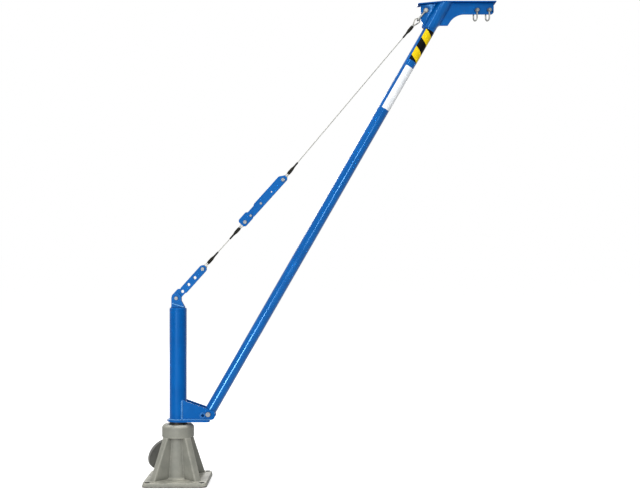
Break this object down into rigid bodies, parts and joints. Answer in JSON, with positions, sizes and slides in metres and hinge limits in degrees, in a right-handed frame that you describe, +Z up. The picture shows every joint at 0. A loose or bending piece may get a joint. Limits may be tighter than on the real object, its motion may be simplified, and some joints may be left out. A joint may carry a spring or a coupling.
{
  "type": "davit crane",
  "caption": "Slewing davit crane: cast floor socket, tube mast, inclined boom held by a wire rope stay with a length adjuster, and a flat head with anchor shackles.",
  "frame": {"origin": "on the floor, under the mast axis, at the centre of the floor bolts", "axes": "+Z up along the mast, +X towards the head of the boom"},
  "size_m": [1.8211, 0.3303, 2.4983],
  "materials": {
    "blue_paint": "semi-gloss powder coat",
    "grey_casting": "painted casting",
    "dark_grey_paint": "matt",
    "zinc_plate": "bright zinc plate",
    "rope_steel": "galvanised strands",
    "bare_steel": "turned",
    "ferrule_aluminium": "pressed",
    "black_sleeve": "shrink sleeve",
    "bush_bronze": "bored",
    "washer_black": "matt"
  },
  "bodies": {
    "base": {"base_casting": "grey_casting", "upper_bush": "bush_bronze", "lower_bush": "bush_bronze", "cap_hinge_pin": "zinc_plate"},
    "turntable": {"thrust_washer": "washer_black"},
    "cap_link": {"cap_link": "dark_grey_paint"},
    "dust_cap": {"socket_cap": "dark_grey_paint", "cap_pin": "zinc_plate"},
    "mast": {"mast_tube": "blue_paint", "spigot_tube": "bare_steel", "foot_plate": "blue_paint", "foot_side_plate_front": "blue_paint", "foot_side_plate_rear": "blue_paint", "lock_bosses": "blue_paint", "boom_pin": "zinc_plate", "boom_pin_nut": "zinc_plate", "mast_top_plate": "blue_paint", "mast_lug_front": "blue_paint", "mast_lug_rear": "blue_paint", "rain_cover": "blue_paint", "stay_pin": "zinc_plate", "stay_pin_nut": "zinc_plate"},
    "boom": {"boom_tube": "blue_paint", "boom_foot_bush": "bare_steel", "head_cheek_front": "blue_paint", "head_cheek_rear": "blue_paint"},
    "anchor_shackle_1": {"anchor_shackle_1_bow": "zinc_plate", "anchor_shackle_1_pin": "zinc_plate", "anchor_shackle_1_nut": "zinc_plate"},
    "anchor_shackle_2": {"anchor_shackle_2_bow": "zinc_plate", "anchor_shackle_2_pin": "zinc_plate", "anchor_shackle_2_nut": "zinc_plate"},
    "stay_shackle": {"stay_shackle_bow": "zinc_plate", "stay_shackle_bolt": "zinc_plate", "stay_shackle_nut": "zinc_plate"},
    "stay_lower": {"anchor_strap": "blue_paint", "link_bar_front": "blue_paint", "link_bar_rear": "blue_paint", "link_spacers": "blue_paint", "link_bolt": "zinc_plate", "link_nut": "zinc_plate", "short_rope": "rope_steel", "short_rope_thimbles": "zinc_plate", "short_rope_ferrules": "ferrule_aluminium", "short_rope_sleeves": "black_sleeve", "adjuster_strap_front": "blue_paint", "adjuster_strap_rear": "blue_paint", "strap_bolts": "zinc_plate", "strap_nuts": "zinc_plate"},
    "stay_upper": {"adjuster_channel": "blue_paint", "channel_bolts": "zinc_plate", "channel_nuts": "zinc_plate", "rope_pin_spacers": "zinc_plate", "long_rope": "rope_steel", "long_rope_thimbles": "zinc_plate", "long_rope_ferrules": "ferrule_aluminium", "long_rope_sleeves": "black_sleeve"}
  },
  "joints": [
    {"name": "slew", "type": "hinge", "parent": "base", "child": "turntable", "pos_m": [0, 0, 0.3], "axis": [0, 0, 1], "continuous": true},
    {"name": "mast_lift", "type": "slide", "parent": "turntable", "child": "mast", "axis": [0, 0, 1], "range_m": [0, 0.26]},
    {"name": "boom_luff", "type": "hinge", "parent": "mast", "child": "boom", "pos_m": [0.16, 0, 0.3527], "axis": [0, -1, 0], "range_deg": [-8.4, 0]},
    {"name": "stay_swing", "type": "hinge", "parent": "mast", "child": "stay_lower", "pos_m": [-0.008, 0, 0.954], "axis": [0, -1, 0], "range_deg": [-9.7, 0]},
    {"name": "stay_adjust", "type": "slide", "parent": "stay_lower", "child": "stay_upper", "axis": [0.6691, 0, 0.7431], "range_m": [0, 0.082]},
    {"name": "stay_shackle_swing", "type": "hinge", "parent": "boom", "child": "stay_shackle", "pos_m": [1.2918, 0, 2.45326], "axis": [0, -1, 0], "range_deg": [-1.3, 0]},
    {"name": "anchor_shackle_1_swing", "type": "hinge", "parent": "boom", "child": "anchor_shackle_1", "pos_m": [1.5508, 0, 2.45576], "axis": [-0.4384, 0.8988, 0], "range_deg": [-23, 23]},
    {"name": "anchor_shackle_2_swing", "type": "hinge", "parent": "boom", "child": "anchor_shackle_2", "pos_m": [1.6148, 0, 2.45576], "axis": [-0.4384, 0.8988, 0], "range_deg": [-23, 23]},
    {"name": "cap_link_swing", "type": "hinge", "parent": "base", "child": "cap_link", "pos_m": [-0.06593, 0.06593, 0.24484], "axis": [0.7071, 0.7071, 0], "range_deg": [0, 60]},
    {"name": "cap_swing", "type": "hinge", "parent": "cap_link", "child": "dust_cap", "pos_m": [-0.07421, 0.07421, 0.21506], "axis": [0.7071, 0.7071, 0], "range_deg": [0, 45]}
  ],
  "couplings": [
    {"joint": "stay_swing", "follows": "boom_luff", "ratio": 1.15},
    {"joint": "stay_adjust", "follows": "boom_luff", "m_per_rad": -0.552},
    {"joint": "stay_shackle_swing", "follows": "boom_luff", "ratio": 0.15}
  ]
}
